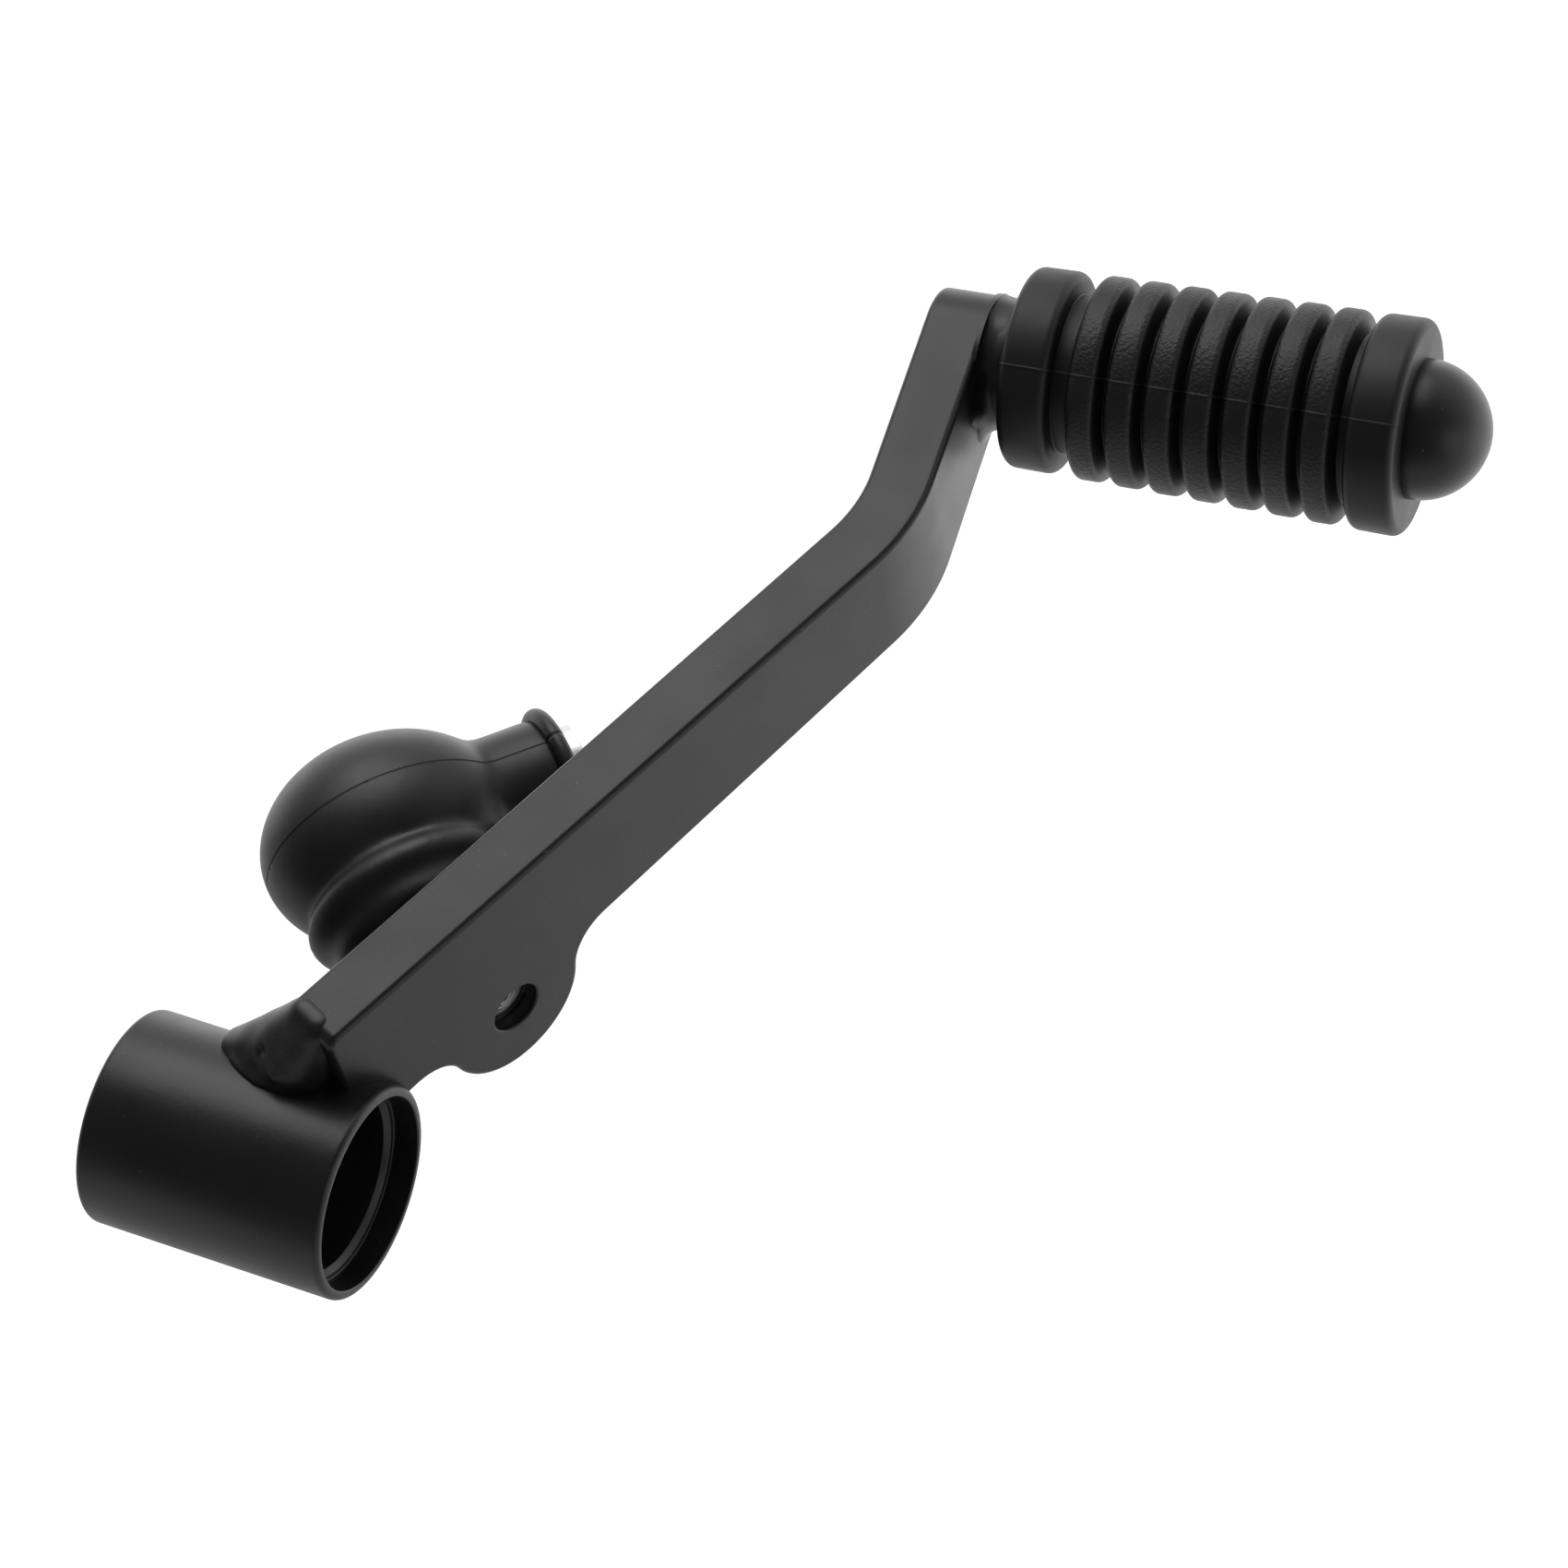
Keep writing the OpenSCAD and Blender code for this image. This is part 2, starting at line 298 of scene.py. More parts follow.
def ball(middle: Vector, r: float, detail: int = 3) -> BMesh:
    """A ball at a point, as a triangle sphere."""
    bm = bmesh.new()
    bmesh.ops.create_icosphere(bm, subdivisions=detail, radius=r, matrix=Matrix.Translation(middle))
    return bm


def moved(bm: BMesh, place: Matrix) -> BMesh:
    """Moves a whole mesh and hands it back."""
    bmesh.ops.transform(bm, matrix=place, verts=bm.verts)
    return bm


def joined(parts: Sequence[BMesh]) -> BMesh:
    """Joins meshes into one and frees them.

    Args:
        parts: The meshes, already in one frame.

    Returns:
        One mesh with all of their faces.
    """
    whole = bmesh.new()
    for part in parts:
        carrier = bpy.data.meshes.new("carrier")
        part.to_mesh(carrier)
        part.free()
        whole.from_mesh(carrier)
        bpy.data.meshes.remove(carrier)
    return whole


def through_modifiers(bm: BMesh, add: Callable[[bpy.types.Object], None]) -> BMesh:
    """Runs a mesh through modifiers and gives back the result.

    Args:
        bm: The mesh, which is freed.
        add: Adds the modifiers to the object that carries the mesh.

    Returns:
        The mesh that the modifiers made.
    """
    data = bpy.data.meshes.new("carrier")
    bm.to_mesh(data)
    bm.free()
    carrier = bpy.data.objects.new("carrier", data)
    bpy.context.scene.collection.objects.link(carrier)
    add(carrier)
    graph = bpy.context.evaluated_depsgraph_get()
    result = bmesh.new()
    result.from_object(carrier, graph)
    bpy.data.objects.remove(carrier)
    bpy.data.meshes.remove(data)
    return result


def fused(parts: Sequence[BMesh], voxel: float, passes: int) -> BMesh:
    """Melts overlapping closed meshes into one skin.

    Args:
        parts: The overlapping meshes.
        voxel: Size of the skin's faces.
        passes: Number of smoothing passes.

    Returns:
        One smooth closed mesh.
    """

    def remesh(carrier: bpy.types.Object) -> None:
        """Adds the modifier that makes one skin."""
        modifier = carrier.modifiers.new("skin", "REMESH")
        modifier.mode = "VOXEL"
        modifier.voxel_size = voxel

    bm = through_modifiers(joined(parts), remesh)
    for _ in range(passes):
        bmesh.ops.smooth_vert(
            bm, verts=bm.verts, factor=0.5, use_axis_x=True, use_axis_y=True, use_axis_z=True
        )
    return bm


def cut_with(bm: BMesh, cutters: Sequence[BMesh]) -> BMesh:
    """Cuts closed meshes out of another.

    Args:
        bm: The mesh to cut, which is freed.
        cutters: Closed meshes, which are freed too.

    Returns:
        The cut mesh.
    """
    tools = []
    for cutter in cutters:
        data = bpy.data.meshes.new("cutter")
        cutter.to_mesh(data)
        cutter.free()
        tool = bpy.data.objects.new("cutter", data)
        bpy.context.scene.collection.objects.link(tool)
        tools.append(tool)

    def subtract(carrier: bpy.types.Object) -> None:
        """Adds one cut for each cutter."""
        for tool in tools:
            modifier = carrier.modifiers.new("cut", "BOOLEAN")
            modifier.operation = "DIFFERENCE"
            modifier.solver = "EXACT"
            modifier.object = tool

    result = through_modifiers(bm, subtract)
    for tool in tools:
        bpy.data.objects.remove(tool)
    return result


def roughen(bm: BMesh, depth: float, scale: float, seed: float) -> None:
    """Pushes a mesh's points in and out by smooth noise.

    Args:
        bm: The mesh.
        depth: Largest push.
        scale: Size of the noise's lumps, in millimetres.
        seed: Offset that picks another stretch of the noise.
    """
    bm.normal_update()
    for vert in bm.verts:
        vert.co += vert.normal * depth * noise.noise(vert.co / scale + Vector((seed, seed, seed)))


def parting_line(bm: BMesh, normal: Vector, width: float, height: float) -> None:
    """Raises the thin line that a split mould leaves, in a plane through the middle.

    Args:
        bm: The mesh.
        normal: The split plane's normal, one long.
        width: Half the line's width.
        height: Rise of the line's middle, or its depth if negative.
    """
    for offset in (-width, 0.0, width):
        geom = bm.verts[:] + bm.edges[:] + bm.faces[:]
        bmesh.ops.bisect_plane(
            bm, geom=geom, dist=MERGE_GAP, plane_co=normal * offset, plane_no=normal
        )
    bm.normal_update()
    for vert in bm.verts:
        if abs(vert.co.dot(normal)) < MERGE_GAP * 2:
            vert.co += vert.normal * height


@dataclass
class Graph:
    """Adds and joins shader nodes in one material or world."""

    owner: bpy.types.Material | bpy.types.World

    def __post_init__(self) -> None:
        """Empties the owner's nodes."""
        self.owner.use_nodes = True
        self.owner.node_tree.nodes.clear()

    def put(self, value: object, socket: Socket) -> None:
        """Joins another node's output to an input, or sets the input's value."""
        if isinstance(value, Socket):
            self.owner.node_tree.links.new(value, socket)
        else:
            socket.default_value = value

    def add(self, kind: str, settings: dict | None = None, **inputs: object) -> bpy.types.Node:
        """Adds a node.

        Args:
            kind: The node's type, without its common prefix.
            settings: Properties of the node.
            **inputs: Values or sockets for the inputs, with _ for a space.

        Returns:
            The node.
        """
        node = self.owner.node_tree.nodes.new("ShaderNode" + kind)
        for key, value in (settings or {}).items():
            setattr(node, key, value)
        for key, value in inputs.items():
            self.put(value, node.inputs[key.replace("_", " ")])
        return node

    def in_order(self, kind: str, settings: dict, *values: object) -> Socket:
        """Adds a node, fills its inputs in their order and gives its first output."""
        node = self.add(kind, settings)
        for value, socket in zip(values, node.inputs):
            self.put(value, socket)
        return node.outputs[0]

    def place(self) -> Socket:
        """The place of a point on its piece, in metres."""
        return self.add("TexCoord").outputs["Object"]

    def blotches(self, size: float, detail: float = 3.0) -> Socket:
        """Smooth noise.

        Args:
            size: Size of the lumps, in millimetres.
            detail: Number of finer layers.

        Returns:
            The noise's height, from 0 to 1.
        """
        node = self.add("TexNoise", Vector=self.place(), Scale=1 / (size * MM), Detail=detail, Roughness=0.55)
        return node.outputs["Fac"]

    def spread(self, source: Socket, low: float, high: float, out_low: float, out_high: float) -> Socket:
        """Maps one range of values to another and clamps it."""
        return self.in_order("MapRange", {}, source, low, high, out_low, out_high)

    def tint(self, share: Socket, dark: Sequence[float] | Socket, light: Sequence[float]) -> Socket:
        """Mixes two colours by a share."""
        node = self.add("Mix", {"data_type": "RGBA"}, Factor=share)
        self.put(dark if isinstance(dark, Socket) else (*dark, 1), node.inputs[6])
        self.put((*light, 1), node.inputs[7])
        return node.outputs[2]

    def bump(self, height: Socket, depth: float, strength: float, under: Socket | None = None) -> Socket:
        """Turns a height into a bumped normal.

        Args:
            height: The height, from 0 to 1.
            depth: Depth of the bumps, in millimetres.
            strength: Share of the effect.
            under: Normal of a coarser bump below this one.

        Returns:
            The normal.
        """
        node = self.add("Bump", Strength=strength, Distance=depth * MM, Height=height)
        if under is not None:
            self.put(under, node.inputs["Normal"])
        return node.outputs["Normal"]

    def close(self, shader: Socket, kind: str = "OutputMaterial") -> bpy.types.Material | bpy.types.World:
        """Joins the shader to the output and hands the owner back."""
        self.add(kind, Surface=shader)
        return self.owner


@dataclass(frozen=True)
class Coating:
    """Satin black powder coat on steel."""

    name: str = "satin_powder_coat"
    dark: tuple[float, float, float] = (0.0052, 0.0052, 0.0053)
    light: tuple[float, float, float] = (0.0075, 0.0075, 0.0076)
    speck: tuple[float, float, float] = (0.07, 0.07, 0.07)
    roughness: float = 0.38
    peel_size: float = 0.55
    grain_size: float = 0.16
    depth: float = 0.02

    def build(self) -> bpy.types.Material:
        """Makes the material."""
        g = Graph(bpy.data.materials.new(self.name))
        peel = g.blotches(self.peel_size, 2.0)
        grain = g.blotches(self.grain_size, 3.0)
        cloud = g.blotches(9.0, 2.0)
        specks = g.spread(g.blotches(0.3, 0.0), 0.86, 0.88, 0.0, 1.0)
        colour = g.tint(specks, g.tint(cloud, self.dark, self.light), self.speck)
        normal = g.bump(grain, self.depth * 0.4, 0.5, g.bump(peel, self.depth, 0.45))
        shader = g.add(
            "BsdfPrincipled", Base_Color=colour, Normal=normal,
            Roughness=g.spread(cloud, 0.3, 0.7, self.roughness - 0.04, self.roughness + 0.04),
        )
        return g.close(shader.outputs["BSDF"])


@dataclass(frozen=True)
class Rubber:
    """Black moulded rubber, plain or pebbled."""

    name: str
    dark: tuple[float, float, float] = (0.0035, 0.0035, 0.0035)
    light: tuple[float, float, float] = (0.0055, 0.0055, 0.0055)
    roughness: float = 0.5
    pebble_size: float = 0.34
    pebble_depth: float = 0.0
    specular: float = 0.5

    def build(self) -> bpy.types.Material:
        """Makes the material."""
        g = Graph(bpy.data.materials.new(self.name))
        cloud = g.blotches(6.0, 3.0)
        fine = g.blotches(0.2, 2.0)
        normal = g.bump(fine, 0.008, 0.5)
        if self.pebble_depth > 0:
            cells = g.add("TexVoronoi", {"feature": "SMOOTH_F1"}, Vector=g.place(),
                          Scale=1 / (self.pebble_size * MM), Smoothness=0.35)
            normal = g.bump(g.spread(cells.outputs["Distance"], 0.0, 0.7, 1.0, 0.0),
                            self.pebble_depth, 0.8, normal)
        shader = g.add(
            "BsdfPrincipled", Base_Color=g.tint(cloud, self.dark, self.light), Normal=normal,
            Roughness=g.spread(cloud, 0.3, 0.7, self.roughness - 0.05, self.roughness + 0.05),
            Specular_IOR_Level=self.specular,
        )
        return g.close(shader.outputs["BSDF"])


@dataclass(frozen=True)
class Plating:
    """Bright zinc plate over turned steel."""

    name: str = "bright_zinc_plate"
    dark: tuple[float, float, float] = (0.72, 0.73, 0.74)
    light: tuple[float, float, float] = (0.86, 0.87, 0.88)
    roughness: float = 0.28

    def build(self) -> bpy.types.Material:
        """Makes the material."""
        g = Graph(bpy.data.materials.new(self.name))
        cloud = g.blotches(1.6, 3.0)
        scratch = g.blotches(0.12, 3.0)
        shader = g.add(
            "BsdfPrincipled", Base_Color=g.tint(cloud, self.dark, self.light), Metallic=1.0,
            Roughness=g.spread(cloud, 0.3, 0.7, self.roughness - 0.06, self.roughness + 0.08),
            Normal=g.bump(scratch, 0.006, 0.4),
        )
        return g.close(shader.outputs["BSDF"])


@dataclass
class Finishes:
    """All the lever's materials, each made once."""

    coating: bpy.types.Material = field(default_factory=lambda: Coating().build())
    crown: bpy.types.Material = field(default_factory=lambda: Rubber(
        "pebbled_toe_rubber", roughness=0.5, pebble_depth=0.045).build())
    groove: bpy.types.Material = field(default_factory=lambda: Rubber(
        "smooth_toe_rubber", roughness=0.5, specular=0.45).build())
    boot: bpy.types.Material = field(default_factory=lambda: Rubber(
        "smooth_boot_rubber", roughness=0.42).build())
    zinc: bpy.types.Material = field(default_factory=lambda: Plating().build())
    turned: bpy.types.Material = field(default_factory=lambda: Plating(
        "turned_steel_end", dark=(0.2, 0.2, 0.2), light=(0.3, 0.3, 0.3), roughness=0.34).build())


@dataclass
class Piece:
    """A finished mesh, ready to be put on its body."""

    name: str
    bm: BMesh
    frame: Matrix
    materials: Sequence[bpy.types.Material]
    slot: Slot
    nodes: Sequence[str]
    sharp_angle: float = 38.0

    def make(self) -> bpy.types.Object:
        """Brings the mesh to metres and its place, and makes the object.

        Returns:
            The object, at the origin, with its place in its mesh.
        """
        moved(self.bm, Matrix.Scale(MM, 4) @ self.frame)
        limit = math.radians(self.sharp_angle)
        for face in self.bm.faces:
            face.smooth = True
        for edge in self.bm.edges:
            edge.smooth = len(edge.link_faces) != 2 or edge.calc_face_angle(0.0) < limit
        data = bpy.data.meshes.new(self.name)
        self.bm.to_mesh(data)
        self.bm.free()
        for material in self.materials:
            data.materials.append(material)
        piece = bpy.data.objects.new(self.name, data)
        bpy.context.scene.collection.objects.link(piece)
        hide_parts(*self.nodes)
        log.info("%s: %d faces", self.name, len(data.polygons))
        return piece

    def on(self, body: Body) -> bpy.types.Object:
        """Makes the object and puts it on a body."""
        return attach(self.make(), body.value)


@dataclass
class PivotTube:
    """The cross tube that turns on the frame's pivot."""

    tube_r: float = 10.0
    tube_len: float = 24.5
    bore_r: float = 8.0
    seat_r: float = 9.0
    seat_depth: float = 2.5
    seat_chamfer: float = 0.5
    rim_round: float = 0.6
    edge_round: float = 0.16

    def outline(self) -> Outline:
        """The tube's section, as a closed outline of radius and height."""
        half = self.tube_len / 2
        step = half - self.seat_depth
        right: list[Corner] = [
            (self.bore_r, step - self.seat_chamfer, self.edge_round),
            (self.bore_r + self.seat_chamfer, step, self.edge_round),
            (self.seat_r, step, self.edge_round),
            (self.seat_r, half, self.edge_round),
            (self.tube_r, half, self.rim_round),
        ]
        left = [(r, -h, e) for r, h, e in reversed(right)]
        return rounded(right + left, closed=True)

    def build(self, finishes: Finishes) -> None:
        """Makes the tube."""
        bm = revolve(self.outline(), closed=True)
        Piece("pivot_tube_coated", bm, turned("X", 90), [finishes.coating], Slot.COATING, ["pivot_tube"]).on(
            Body.LEVER
        )


@dataclass
class ArmPlate:
    """The bent steel plate with its lug."""

    layout: Layout
    run_start: float = 7.8
    lug_r: float = 7.5
    lug_fillet: float = 4.5
    edge_round: float = 0.6
    edge_steps: int = 5
    corner_round: float = 1.3
    thread_r: float = 2.52
    thread_depth: float = 0.3
    thread_pitch: float = 0.8
    mouth_len: float = 0.8
    mouth_round: float = 0.25
    mouth_over: float = 1.0
    bend_cuts: int = 14
    weld_gap_angle: float = 4.0
    tube_wall_middle: float = 9.4
    cutter_half: float = 30.0

    def side(self) -> Outline:
        """The plate's outline, laid flat along its outboard face."""
        at = self.layout
        fillet = self.lug_r + self.lug_fillet
        drop = [self.lug_fillet + at.lug_height - at.bottom_at(at.lug_run + s * fillet) for s in (-1, 1)]
        reach = [math.sqrt(fillet**2 - d * d) for d in drop]
        angle = [math.degrees(math.asin(d / fillet)) for d in drop]
        gap = self.weld_gap_angle
        tip = arc(at.tip_run, at.peg_height, at.tip_r, -90, 90, 40)
        return (
            rounded([(at.lug_run, at.plate_top, 0), (self.run_start, at.plate_top, self.corner_round),
                     (self.run_start, at.bottom_at(self.run_start), 0)])
            + arc(at.lug_run - reach[0], at.lug_height - drop[0], self.lug_fillet, 90, angle[0], 12)
            + arc(at.lug_run, at.lug_height, self.lug_r, 180 + angle[0] + gap, 360 - angle[1] - gap, 44)
            + arc(at.lug_run + reach[1], at.lug_height - drop[1], self.lug_fillet, 180 - angle[1], 90, 12)
            + [(at.knee_start, at.bottom_at(at.knee_start))]
            + tip
        )

    def blank(self) -> BMesh:
        """The flat plate with its edges rounded, in the arm's frame."""
        at = self.layout
        r = self.edge_round
        bm = bmesh.new()
        verts = [bm.verts.new((run, r - at.face_offset, height)) for run, height in self.side()]
        edges = [bm.edges.new(pair) for pair in zip(verts, verts[1:] + verts[:1])]
        face = bmesh.ops.contextual_create(bm, geom=edges)["faces"][0]
        extruded = bmesh.ops.extrude_face_region(bm, geom=[face])["geom"]
        back = [v for v in extruded if isinstance(v, bmesh.types.BMVert)]
        bmesh.ops.translate(bm, vec=(0, at.plate_t - 2 * r, 0), verts=back)
        bmesh.ops.recalc_face_normals(bm, faces=bm.faces)
        ring = arc(0, 0, r, 0, 90, self.edge_steps)
        for cap in [f for f in bm.faces if len(f.verts) > 4]:
            for (outer, low), (inner, high) in zip(ring, ring[1:]):
                bmesh.ops.inset_region(
                    bm, faces=[cap], thickness=outer - inner, depth=high - low,
                    use_boundary=True, use_even_offset=True,
                )
        return bm

    def tube_cutter(self) -> BMesh:
        """A bar as wide as the middle of the tube's wall, in the arm's frame."""
        half = self.cutter_half
        wide = self.tube_wall_middle
        bm = revolve([(0, -half), (wide, -half), (wide, half), (0, half)])
        return moved(bm, turned("Z", self.layout.crank_angle) @ turned("X", 90))

    def thread_cutter(self) -> BMesh:
        """The lug's threaded hole with its rounded outboard mouth, in the arm's frame."""
        at = self.layout
        wide = self.thread_r
        narrow = wide - self.thread_depth
        lip = self.mouth_round
        over = self.mouth_over
        out: Outline = [(0, -over), (wide + lip, -over)]
        out += arc(wide + lip, lip, lip, 270, 180, 5) + [(wide, self.mouth_len)]
        turns = int((at.plate_t - 2 * self.mouth_len) / self.thread_pitch)
        for turn in range(turns):
            low = self.mouth_len + turn * self.thread_pitch
            out += [(narrow, low + self.thread_pitch * 0.45), (narrow, low + self.thread_pitch * 0.6),
                    (wide, low + self.thread_pitch)]
        out += [(wide, at.plate_t + over), (0, at.plate_t + over)]
        bm = revolve(out, steps=72)
        return moved(bm, shifted(at.lug_run, -at.face_offset, at.lug_height) @ turned("X", -90))

    def bend(self, bm: BMesh) -> None:
        """Bends the flat plate at its knee."""
        at = self.layout
        for i in range(self.bend_cuts + 1):
            run = at.knee_start + (at.knee_end - at.knee_start) * i / self.bend_cuts
            bmesh.ops.bisect_plane(
                bm, geom=bm.verts[:] + bm.edges[:] + bm.faces[:], dist=MERGE_GAP,
                plane_co=(run, 0, 0), plane_no=(1, 0, 0),
            )
        middle = at.knee_r - at.face_offset
        for vert in bm.verts:
            run = vert.co.x
            if run > at.knee_start:
                turn = min(run - at.knee_start, at.knee_end - at.knee_start) / at.knee_r
                past = max(run - at.knee_end, 0.0)
                r = middle - vert.co.y
                vert.co.x = at.knee_start + r * math.sin(turn) + past * math.cos(turn)
                vert.co.y = middle - r * math.cos(turn) + past * math.sin(turn)

    def build(self, finishes: Finishes) -> None:
        """Makes the plate."""
        bm = cut_with(self.blank(), [self.tube_cutter(), self.thread_cutter()])
        self.bend(bm)
        plate = Piece("lever_arm_coated", bm, self.layout.arm(), [finishes.coating], Slot.COATING,
                      ["lever_arm"], sharp_angle=50.0).on(Body.LEVER)
        weighted = plate.modifiers.new("even_normals", "WEIGHTED_NORMAL")
        weighted.keep_sharp = True


@dataclass
class TubeWeld:
    """The weld between the plate and the pivot tube."""

    layout: Layout
    tube_r: float = 10.0
    end_r: float = 1.9
    dome_r: float = 3.4
    lip_r: float = 1.0
    ridge_r: float = 0.65
    crater_r: float = 0.4
    crater_depth: float = 0.28
    seam_r: float = 1.8
    seam_pitch: float = 0.85
    ripple: float = 0.1
    ripple_size: float = 2.6
    voxel: float = 0.2
    smooth_passes: int = 12

    @property
    def back_face(self) -> float:
        """Distance across the arm of the plate's inboard face."""
        return self.layout.plate_t - self.layout.face_offset

    def on_tube(self, share: float, step: float) -> Vector:
        """A point of the tube's outside, in the arm's frame.

        Args:
            share: Height, as a share of the tube's radius.
            step: Distance inboard of the plate's inboard face.

        Returns:
            The point.
        """
        crank = math.radians(self.layout.crank_angle)
        across = self.back_face + step
        reach = self.tube_r * math.sqrt(1 - share**2)
        return Vector(((reach - across * math.sin(crank)) / math.cos(crank), across, share * self.tube_r))

    def mound(self) -> BMesh:
        """The weld metal that was laid over the plate's end."""
        back = self.back_face
        tops = [Vector((9.0, back - 1.4, 15.05)), Vector((9.0, back - 3.2, 15.05))]
        base = [self.on_tube(*spot) for spot in ((0.8, 5.0), (0.89, 2.2), (0.92, 0.3), (0.93, -1.1))]
        domes = [ball(Vector((7.0, back + step, 10.4)), self.dome_r, 4) for step in (0.6, -1.2)]
        bm = joined([ball(spot, self.end_r) for spot in [*base, *tops]] + domes)
        hull = bmesh.ops.convex_hull(bm, input=bm.verts)
        spare = [item for item in hull["geom_interior"] if isinstance(item, bmesh.types.BMVert)]
        bmesh.ops.delete(bm, geom=spare, context="VERTS")
        return bm

    def skirt(self) -> list[BMesh]:
        """The low lip that the weld metal leaves round the mound."""
        spots = [(0.77, 6.2), (0.8, 5.8), (0.83, 5.2), (0.87, 4.4), (0.9, 3.6), (0.92, 2.8), (0.935, 2.0),
                 (0.945, 1.2), (0.955, 0.4), (0.957, -0.3), (0.955, -1.0), (0.945, -1.6)]
        return [ball(self.on_tube(*spot), self.lip_r) for spot in spots]

    def ridge(self) -> list[BMesh]:
        """The raised ripple where the weld metal set last."""
        back = self.back_face
        spots = [(0.7, 11.3), (0.2, 11.05), (-0.4, 10.95), (-1.0, 11.05), (-1.5, 11.3)]
        return [ball(Vector((4.15, back + step, height)), self.ridge_r) for step, height in spots]

    def dimple(self, bm: BMesh) -> None:
        """Presses in the small crater on the mound."""
        middle = Vector((5.75, self.back_face + 0.6, 12.7))
        bm.normal_update()
        for vert in bm.verts:
            gap = Vector((vert.co - middle).yz).length
            if vert.normal.x < 0:
                vert.co -= vert.normal * self.crater_depth * math.exp(-((gap / self.crater_r) ** 2))

    def seam(self) -> list[BMesh]:
        """The ripples of the seam down the plate's inboard side."""
        count = int(0.7 * self.tube_r / self.seam_pitch)
        shares = [0.8 - i * self.seam_pitch / self.tube_r for i in range(count)]
        return [ball(self.on_tube(share, self.seam_r / 3), self.seam_r) for share in shares]

    def build(self, finishes: Finishes) -> None:
        """Makes the weld."""
        parts = [self.mound(), *self.skirt(), *self.ridge(), *self.seam()]
        bm = fused(parts, self.voxel, self.smooth_passes)
        roughen(bm, self.ripple, self.ripple_size, 3.0)
        self.dimple(bm)
        Piece("tube_weld_coated", bm, self.layout.arm(), [finishes.coating], Slot.COATING, ["tube_weld"]).on(
            Body.LEVER
        )


@dataclass
class ToePiece:
    """The toe peg, the weld round it and its rubber sleeve."""

    layout: Layout
    peg_r: float = 5.0
    collar_r: float = 6.0
    collar_len: float = 2.7
    ball_end_r: float = 6.5
    ball_end_run: float = 40.5
    collar_round: float = 0.3
    weld_leg: float = 1.7
    weld_inside: float = 1.0
    weld_sink: float = 0.5
    weld_least: float = 0.12
    weld_ripple: float = 0.2
    weld_ripple_size: float = 2.4
    root_r: float = 9.35
    tip_r: float = 10.05
    rubber_end: float = 40.2
    flange_w: float = 4.7
    flange_round: float = 0.9
    rib_count: int = 7
    rib_pitch: float = 3.69
    rib_w: float = 2.3
    rib_draft: float = 0.6
    rib_round: float = 0.7
    rib_shift: float = 0.3
    groove_depth: float = 2.1
    groove_round: float = 0.12
    split_angle: float = 125.0
    flash_half: float = 0.1
    flash_rise: float = 0.13

    def rubber_r(self, run: float) -> float:
        """Radius of the rubber's crowns at a distance along the peg."""
        share = (run - self.collar_len) / (self.rubber_end - self.collar_len)
        return self.root_r + (self.tip_r - self.root_r) * share

    def rib_middles(self) -> list[float]:
        """Distances of the ribs' middles along the peg."""
        middle = (self.collar_len + self.rubber_end) / 2 + self.rib_shift
        first = middle - (self.rib_count - 1) * self.rib_pitch / 2
        return [first + i * self.rib_pitch for i in range(self.rib_count)]

    def flange(self, start: float) -> list[Corner]:
        """The corners of an end flange that starts at a distance along the peg."""
        end = start + self.flange_w
        return [(self.rubber_r(run), run, self.flange_round) for run in (start, end)]

    def sleeve_outline(self) -> Outline:
        """Half the rubber's section, closed along the peg."""
        root = self.groove_round
        last = self.rubber_end - self.flange_w
        first_end = self.collar_len + self.flange_w
        out: list[Corner] = [(self.peg_r, self.collar_len, 0), *self.flange(self.collar_len),
                             (self.rubber_r(first_end) - self.groove_depth, first_end, root)]
        for middle in self.rib_middles():
            r = self.rubber_r(middle)
            half = self.rib_w / 2
            foot = half + self.rib_draft
            out += [(r - self.groove_depth, middle - foot, root), (r, middle - half, self.rib_round),
                    (r, middle + half, self.rib_round), (r - self.groove_depth, middle + foot, root)]
        out += [(self.rubber_r(last) - self.groove_depth, last, root), *self.flange(last),
                (self.peg_r, self.rubber_end, 0)]
        return rounded(out, closed=True, steps=7)

    def build_peg(self, finishes: Finishes) -> None:
        """Makes the peg with its collar and ball end."""
        seat = math.degrees(math.asin((self.rubber_end - self.ball_end_run) / self.ball_end_r))
        outline = (
            [(0.0, 0.0), (self.collar_r, 0.0)]
            + rounded([(self.collar_r, 0, 0), (self.collar_r, self.collar_len, self.collar_round),
                       (self.peg_r, self.collar_len, 0)])
            + [(self.peg_r, self.rubber_end)]
            + arc(0, self.ball_end_run, self.ball_end_r, seat, 90, 40)
        )
        Piece("toe_peg_coated", revolve(outline), self.layout.peg(), [finishes.coating], Slot.COATING,
              ["toe_peg"]).on(Body.LEVER)

    def build_weld(self, finishes: Finishes) -> None:
        """Makes the fillet weld round the peg's collar."""
        leg = self.weld_leg
        inside = self.collar_r - self.weld_inside
        foot = self.collar_r + leg
        outline = [(inside, -self.weld_sink), (foot, -self.weld_sink)]
        outline += arc(foot, leg, leg, 270, 180, 8) + [(inside, leg)]
        bm = revolve(outline, steps=180, closed=True)
        for vert in bm.verts:
            past = Vector(vert.co.xy).length - self.collar_r
            if past > 0:
                along_arm = 0.5 - 0.5 * math.cos(math.atan2(vert.co.y, vert.co.x))
                share = self.weld_least + (1 - self.weld_least) * along_arm**1.5
                vert.co.xy *= (self.collar_r + past * share) / (self.collar_r + past)
        roughen(bm, self.weld_ripple, self.weld_ripple_size, 5.0)
        Piece("peg_weld_coated", bm, self.layout.peg(), [finishes.coating], Slot.COATING, ["peg_weld"]).on(
            Body.LEVER
        )

